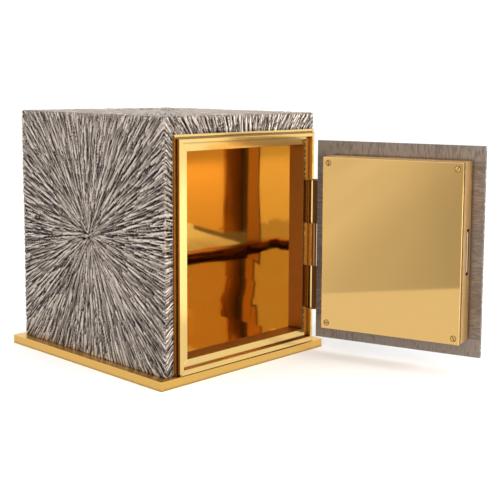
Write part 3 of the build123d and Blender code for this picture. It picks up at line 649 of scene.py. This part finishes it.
# Mirror-polished brass: bright yellow reflections, drawn out along the bar by polishing
# lines, and dark brown painted shade in corners. Real lines lie closer than 0.1 mm; these are drawn 1
# mm apart, so that they show.
polished_upright, polished_level = (
    brushed("polished_brass_" + way, "#F2CE82", 0.14, stretch, 0.004, corner_shade_colour="#4A260F", reach=3.5)
    for way, stretch in (("upright", (900, 900, 6)), ("level", (6, 900, 900))))
# Milled brass no polishing wheel reaches: duller, no clear reflections, browner as painted shade.
shaded_reveal_brass = brushed("satin_brass_reveal_painted_shade", "#B98446", 0.42, (60, 60, 60), 0.004, reach=9)
# Brass painted brown as shade, with a soft shine.
shade_brown_brass = brushed("brass_chamfer_painted_shade", "#8A5A2A", 0.3, (60, 60, 60), 0.004)
# Brass painted nearly black as shade, with a faint shine.
painted_shade_black = brushed("brass_back_painted_shade", "#1E120B", 0.5, (60, 60, 60), 0.004)

LIP = 2.9 * MM        # how far the lip's front reaches in from the bar's outer side
SILL_FOOT = 1.3 * MM  # the sill's lowest part, lengthened to stand on the base plate
SILL_GAP = 0.2 * MM   # left between the sill and the base plate
doorway = {"frame_left_stile": Vector((1, 0, 0)), "frame_right_stile": Vector((-1, 0, 0)),
           "frame_head_rail": Vector((0, 0, -1)), "frame_sill_rail": Vector((0, 0, 1))}


def in_painted_shade(bar, polygon, facing_in):
    """True for the faces painted brown as shade: the outer sides, the rim's chamfers, and on the left
    bar the lip instead.
    """
    if bar == "frame_left_stile" and polygon.normal.y < -0.9:
        return polygon.center.x < frame_low.x + LIP
    if facing_in < -0.9:
        return polygon.center.y > front_low.y - 1.6 * MM
    return bar != "frame_left_stile" and -0.8 < facing_in < -0.6 and polygon.area > 50 * MM ** 2


for name, inward in doorway.items():
    polish = polished_upright if "stile" in name else polished_level
    bar = reshape(name, "cabinet", 0.3 * MM, polish)
    if name == "frame_sill_rail":
        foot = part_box(name)[0].z
        for vertex in bar.data.vertices:
            if vertex.co.z < foot + SILL_FOOT:
                vertex.co.z -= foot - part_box("base_plate")[1].z - SILL_GAP
    for finish in (shaded_reveal_brass, painted_shade_black, shade_brown_brass):
        bar.data.materials.append(finish)
    # Painted shade: faces into the doorway get the browner reveal brass, faces behind the casting's
    # front the nearly black brass, and the outer sides, chamfers and left lip the brown brass.
    for polygon in bar.data.polygons:
        facing_in = polygon.normal.dot(inward)
        if facing_in > 0.9:
            polygon.material_index = 1
        elif polygon.center.y > front_low.y + 1.5 * MM:
            polygon.material_index = 2
        elif in_painted_shade(name, polygon, facing_in):
            polygon.material_index = 3

# ---- Hinge --------------------------------------------------------------------------
# A long brass butt hinge: the middle knuckle on a leaf screwed to the side of the rim, the
# outer two on the leaf under the door's casting, and a headed pin through all three.

# Satin brass gone brown with handling, with painted shade in its corners, its turning marks drawn 3 mm
# apart so that they show.
hinge_brass = brushed("satin_brass_hinge", "#A87540", 0.30, (300, 300, 40), 0.01)
# The same brass painted dark as shade, and nearly black in its corners as painted shade.
shaded_dark_brass = brushed("dark_brass_painted_shade", "#7A5030", 0.38, (300, 300, 40), 0.01, corner_shade_colour="#24150C")
for name, body, finish in (("hinge_frame_leaf", "cabinet", hinge_brass),
                           ("hinge_pin", "cabinet", hinge_brass),
                           ("hinge_door_leaf", "door", shaded_dark_brass)):
    reshape(name, body, 0.2 * MM, finish, angle=35)
dress(hinge_brass, "frame_leaf_screws", "door_leaf_screws")

# ---- Door ---------------------------------------------------------------------------
# A cast facing with its own rays, soldered to a plate whose back is dressed with a file,
# in short strokes square to each edge. The plate darkens to a warm grey.
hinge = next(joint for joint in frame["joints"] if joint["name"] == "door_hinge")
swing = radians(-hinge["range_deg"][0])
turned = Matrix.Rotation(swing, 3, "Z")
along, outward = turned @ Vector((-1, 0, 0)), turned @ Vector((0, -1, 0))
pin = Vector(hinge["pos_m"])


def door_box(node):
    """Lowest and highest distance along, outward and up of a node, from the hinge pin."""
    points = np.array([vertex.co for vertex in nodes[node].data.vertices]) - np.array(pin)
    rows = np.stack([points @ np.array(along), points @ np.array(outward), points[:, 2] + pin.z], 1)
    return rows.min(0), rows.max(0)


# Darkened white metal, filed: dull grey-brown, hatched by the file, with painted shade against the
# case. Real file marks lie about 0.5 mm apart; these are drawn 1.8 mm apart by 11 mm long,
# so that they show. Above and below the case they run upright, and beside it level and darker.
FILED_ACROSS, FILED_ALONG = 560, 90   # marks per metre
filed_plate, plate_shader = finish_of("filed_grey_plate", Metallic=0.7, Roughness=0.45)
case_low, case_high = door_box("lock_case")
place = wire(filed_plate, "TexCoord", {})
laid = wire(filed_plate, "Mapping", {"vector_type": "POINT"}, ("Vector", place.outputs["Object"]),
            ("Rotation", (0, 0, -swing)))
apart = wire(filed_plate, "SeparateXYZ", {}, ("Vector", place.outputs["Object"]))
above = wire(filed_plate, "Math", {"operation": "GREATER_THAN"}, (0, apart.outputs["Z"]),
             (1, case_high[2]))
below = wire(filed_plate, "Math", {"operation": "LESS_THAN"}, (0, apart.outputs["Z"]),
             (1, case_low[2]))
ends = wire(filed_plate, "Math", {"operation": "ADD"}, (0, above.outputs["Value"]),
            (1, below.outputs["Value"]))
strokes = []
for stretch in ((FILED_ALONG, FILED_ALONG, FILED_ACROSS), (FILED_ACROSS, FILED_ALONG, FILED_ALONG)):
    lines = wire(filed_plate, "Mapping", {}, ("Vector", laid.outputs["Vector"]), ("Scale", stretch))
    strokes.append(wire(filed_plate, "TexNoise", {}, ("Vector", lines.outputs["Vector"]),
                        ("Scale", 1.0), ("Detail", 3.0)))
strokes = wire(filed_plate, "Mix", {}, ("Factor", ends.outputs["Value"]),
               ("A", strokes[0].outputs["Fac"]), ("B", strokes[1].outputs["Fac"]))
cloud = wire(filed_plate, "TexNoise", {}, ("Vector", place.outputs["Object"]), ("Scale", 14.0),
             ("Detail", 4.0))
shade = wire(filed_plate, "Math", {"operation": "MULTIPLY_ADD"}, (0, cloud.outputs["Fac"]), (1, 0.7),
             (2, strokes.outputs["Result"]))
# Painted shade: the plate darkens within 4 mm of the case and other parts.
corner_shade = wire(filed_plate, "AmbientOcclusion", {"samples": 6}, ("Distance", 4 * MM))
shade = wire(filed_plate, "Math", {"operation": "MULTIPLY_ADD"}, (0, ends.outputs["Value"]), (1, 0.16),
             (2, shade.outputs["Value"]))
shade = wire(filed_plate, "Math", {"operation": "MULTIPLY"}, (0, shade.outputs["Value"]),
             (1, corner_shade.outputs["AO"]))
plate_tones = [(0.15, "#2B2420"), (0.5, "#5A4E46"), (0.85, "#6F645B"), (1.0, "#85796E")]
colour = wire(filed_plate, "ValToRGB", {"stops": plate_tones}, ("Fac", shade.outputs["Value"]))
bump = wire(filed_plate, "Bump", {}, ("Height", strokes.outputs["Result"]), ("Strength", 0.5),
            ("Distance", 0.2 * MM))
for output, socket in ((colour.outputs["Color"], "Base Color"), (bump.outputs["Normal"], "Normal")):
    filed_plate.node_tree.links.new(output, plate_shader.inputs[socket])
reshape("door_back_plate", "door", 0.3 * MM, filed_plate)

# The facing is 5.2 mm thick, its rays cut less deep, and level under the escutcheon.
FACING_RELIEF = 2.2   # mm
SEAT_RADIUS = 20.5    # level round the plug, mm
HOLE_RADIUS = 13      # cut out for the barrel, mm
face_low, face_high = door_box("door_face")
plug_low, plug_high = door_box("lock_plug")
facing = Face("door_face", along, (0, 0, 1), face_high[0] - face_low[0], face_high[2] - face_low[2], 8)
facing_middle = (face_low + face_high) / 2 / MM
hole_u, hole_v = (plug_low + plug_high)[[0, 2]] / 2 / MM - facing_middle[[0, 2]]


def beside_plug(u, v, radius):
    """True where a point of the facing is nearer to the plug's middle than radius, mm."""
    return np.hypot(u - hole_u, v - hole_v) < radius


def in_hole(point):
    """True for the part of the facing that the barrel takes."""
    return beside_plug(point.x * facing.length, point.y * facing.height, HOLE_RADIUS)


flat = np.where(beside_plug(facing.u, facing.v, SEAT_RADIUS), 1, facing.relief)
mesh = plate_mesh("door_face", facing.columns, facing.rows, in_hole)
column, row, behind = grid_place(mesh, facing.columns, facing.rows)
u, v = facing.u[row, column], facing.v[row, column]
to_edge = np.minimum(facing.length / 2 - np.abs(u), facing.height / 2 - np.abs(v))
edge_roll = 0.8 * np.clip(1 - to_edge / 1.6, 0, 1) ** 2
thickness = (face_high - face_low)[1] / MM
depth = np.where(behind, thickness, (1 - flat[row, column]) * FACING_RELIEF + edge_roll)
origin = pin + along * (facing_middle[0] * MM) + outward * face_high[1]
origin.z = facing_middle[2] * MM
set_points(mesh, origin, along, (0, 0, 1), outward, u, v, depth)
store(mesh, "level", flat[row, column])
store(mesh, "crest", (flat - spread(flat, 3))[row, column])
store_rays(mesh, u, v)
for polygon in mesh.polygons:
    polygon.use_smooth = True
piece = new_piece("door_face_cast", mesh, white_metal)
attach(piece, "door")
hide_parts("door_face")

# ---- Lock case and cover ------------------------------------------------------------
# A brass box folded from sheet and soldered, with a lid held by four countersunk screws.
# The lid is buffed to a mirror and the sides are sanded.

# Buffed brass: a nearly clear golden mirror, a little uneven in patches about 30 mm across, with
# painted shade in corners.
buffed_brass = brushed("buffed_brass_lid", "#E9BE76", 0.045, (30, 30, 30), 0.001, reach=2)
# Sanded brass: a broad pale sheen with no clear reflections, and painted shade in corners.
sanded_brass = brushed("sanded_brass_case", "#E6BC7E", 0.42, (200, 200, 40), 0.004, reach=4)
reshape("lock_cover", "door", 0.4 * MM, buffed_brass)
case = reshape("lock_case", "door", 0.4 * MM, sanded_brass)
case.data.materials.append(painted_shade_black)
bolt_low, bolt_high = door_box("bolt")
slot_middle = (bolt_low + bolt_high) / 2
# Painted shade: faces round the bolt's slot are made nearly black.
for polygon in case.data.polygons:
    off_bolt = abs((polygon.center - pin).dot(outward) - slot_middle[1])
    at_height = bolt_low[2] - 3 * MM < polygon.center.z < bolt_high[2] + 3 * MM
    if off_bolt < 5 * MM and at_height and abs(polygon.normal.dot(along)) < 0.5:
        polygon.material_index = 1

# Each screw sits in a countersink; a fine dark ring round its edge is painted shade.
RING_RADIUS = 3.85 * MM
RING_HALF = 0.28 * MM                 # half the ring's width
screw_low, screw_high = door_box("cover_screws")
stand = Matrix((along, (0, 0, 1), outward)).transposed().to_4x4()
on_ring = Matrix.Translation((RING_RADIUS, 0, 0)) @ Matrix.Rotation(pi / 2, 4, "X")
rings = bmesh.new()
for at_along in (screw_low[0] + RING_RADIUS, screw_high[0] - RING_RADIUS):
    for at_up in (screw_low[2] + RING_RADIUS, screw_high[2] - RING_RADIUS):
        section = bmesh.ops.create_circle(rings, cap_ends=False, segments=6, radius=RING_HALF)["verts"]
        centre = pin + along * at_along + outward * screw_low[1]
        centre.z = at_up
        bmesh.ops.transform(rings, matrix=Matrix.Translation(centre) @ stand @ on_ring, verts=section)
        edges = list({edge for vert in section for edge in vert.link_edges})
        bmesh.ops.spin(rings, geom=section + edges, cent=centre, axis=outward, angle=2 * pi,
                       steps=24, use_merge=True)
bmesh.ops.remove_doubles(rings, verts=rings.verts, dist=1e-6)


def door_detail(name, shape):
    """A detail on the door, nearly black as painted shade, from a finished bmesh."""
    bmesh.ops.recalc_face_normals(shape, faces=shape.faces)
    mesh = bpy.data.meshes.new(name)
    shape.to_mesh(mesh)
    shape.free()
    piece = new_piece(name, mesh, painted_shade_black)
    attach(piece, "door")


door_detail("countersink_painted_shade_rings", rings)

# Painted shade, nearly black, lies round the edge of the bolt's slot.
SLOT_SHADE_THICK, SLOT_SHADE_SIDE, SLOT_SHADE_END = 0.16 * MM, 1.8 * MM, 3 * MM
side = min(case_low[0], case_high[0], key=lambda edge: abs(edge - bolt_high[0]))
half_wide, half_tall = (bolt_high - bolt_low)[1] / 2 + 1 * MM, (bolt_high - bolt_low)[2] / 2 + 2 * MM
stand = Matrix((along, outward, (0, 0, 1))).transposed().to_4x4()
slot_shade = bmesh.new()
for at_out, at_up, wide, tall in (
        (half_wide + SLOT_SHADE_SIDE / 2, 0, SLOT_SHADE_SIDE, 2 * half_tall),
        (-half_wide - SLOT_SHADE_SIDE / 2, 0, SLOT_SHADE_SIDE, 2 * half_tall),
        (0, half_tall, 2 * (half_wide + SLOT_SHADE_SIDE), SLOT_SHADE_END),
        (0, -half_tall, 2 * (half_wide + SLOT_SHADE_SIDE), SLOT_SHADE_END)):
    bar = bmesh.ops.create_cube(slot_shade, size=1)["verts"]
    bmesh.ops.scale(slot_shade, vec=(SLOT_SHADE_THICK, wide, tall), verts=bar)
    centre = pin + along * side + outward * (slot_middle[1] + at_out)
    centre.z = slot_middle[2] + at_up
    bmesh.ops.transform(slot_shade, matrix=Matrix.Translation(centre) @ stand, verts=bar)
door_detail("bolt_slot_painted_shade", slot_shade)

# ---- Bolt and lock ------------------------------------------------------------------
# A bead-blasted steel bolt in brass guides, thrown by a ground steel crank on a brass plug.
# The plug turns in a barrel under a round escutcheon on the door's face, and takes a key.

# Ground steel: a pale warm sheen, a little darker in corners as painted shade, with grinding lines
# drawn 2.5 mm apart so that they show.
bright_steel = brushed("ground_bright_steel", "#F2E6DC", 0.42, (400, 400, 30), 0.005,
                       corner_shade_colour="#C9B8AC", reach=1)
# Bead-blasted steel: evenly pale and matt, its pits drawn 2.5 mm apart so that they show.
bead_blasted_steel = brushed("bead_blasted_steel", "#D6BFB2", 0.66, (400, 400, 400), 0.01,
                             corner_shade_colour="#D6BFB2", reach=1)
# Turned brass: a golden shine, dark in slots and corners as painted shade, its marks drawn 2 mm apart.
screw_brass = brushed("turned_brass_screw", "#D9AC66", 0.24, (500, 500, 500), 0.005,
                      corner_shade_colour="#4A2A12", reach=2)
for name in ("cover_screws", "escutcheon_screws", "escutcheon", "lock_barrel"):
    reshape(name, "door", 0.15 * MM, screw_brass, angle=35)
reshape("lock_plug", "lock", 0.15 * MM, screw_brass, angle=35)
reshape("bolt", "bolt", 0.3 * MM, bead_blasted_steel)
reshape("key", "lock", 0.3 * MM, bright_steel, angle=35)
reshape("lock_crank", "lock", 0.2 * MM, bright_steel, angle=35)
reshape("bolt_guides", "door", 0.2 * MM, screw_brass)
